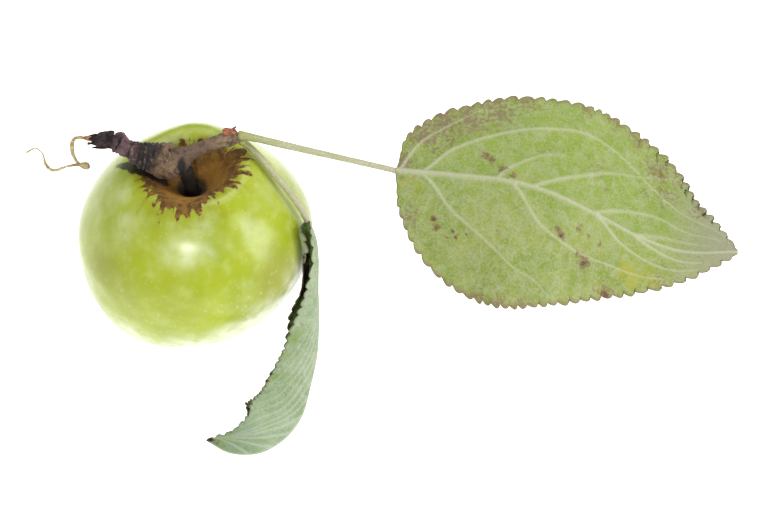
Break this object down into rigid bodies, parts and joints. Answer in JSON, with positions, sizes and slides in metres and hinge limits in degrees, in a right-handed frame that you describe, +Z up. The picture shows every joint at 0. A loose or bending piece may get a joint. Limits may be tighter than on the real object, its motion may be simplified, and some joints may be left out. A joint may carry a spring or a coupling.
{
  "type": "apple with spur and leaves",
  "caption": "Green apple standing on its blossom end, with its gnarled spur wood across the top, a broad open leaf on a long stalk and a folded leaf hanging down its side.",
  "frame": {"origin": "bottom centre of the whole object's box, on the surface that the apple stands on", "axes": "+X from the fruit towards the broad leaf, +Y away from the folded leaf, +Z up along the fruit's axis"},
  "size_m": [0.1688, 0.0802, 0.0554],
  "materials": {
    "apple_skin": "satin waxy skin, green with russet round the stalk hollow",
    "dry_sepal": "dry, matte",
    "stalk_skin": "dark woody stalk, matte",
    "spur_bark": "wrinkled purple-brown bark, matte",
    "bud_scales": "ragged, matte",
    "dry_tissue": "dry, matte",
    "red_scale": "dry, matte",
    "leaf_stalk": "green stalk, soft sheen",
    "leaf_underside": "downy leaf underside, matte",
    "folded_leaf_skin": "downy leaf underside, matte"
  },
  "bodies": {
    "root": {"fruit": "apple_skin", "calyx": "dry_sepal", "fruit_stalk": "stalk_skin", "spur": "spur_bark", "end_bud": "bud_scales", "bud_scale": "dry_tissue", "dry_thread": "dry_tissue", "side_bud": "red_scale", "long_leaf_stalk": "leaf_stalk", "short_leaf_stalk": "leaf_stalk", "broad_leaf": "leaf_underside", "folded_leaf": "folded_leaf_skin"}
  },
  "joints": []
}
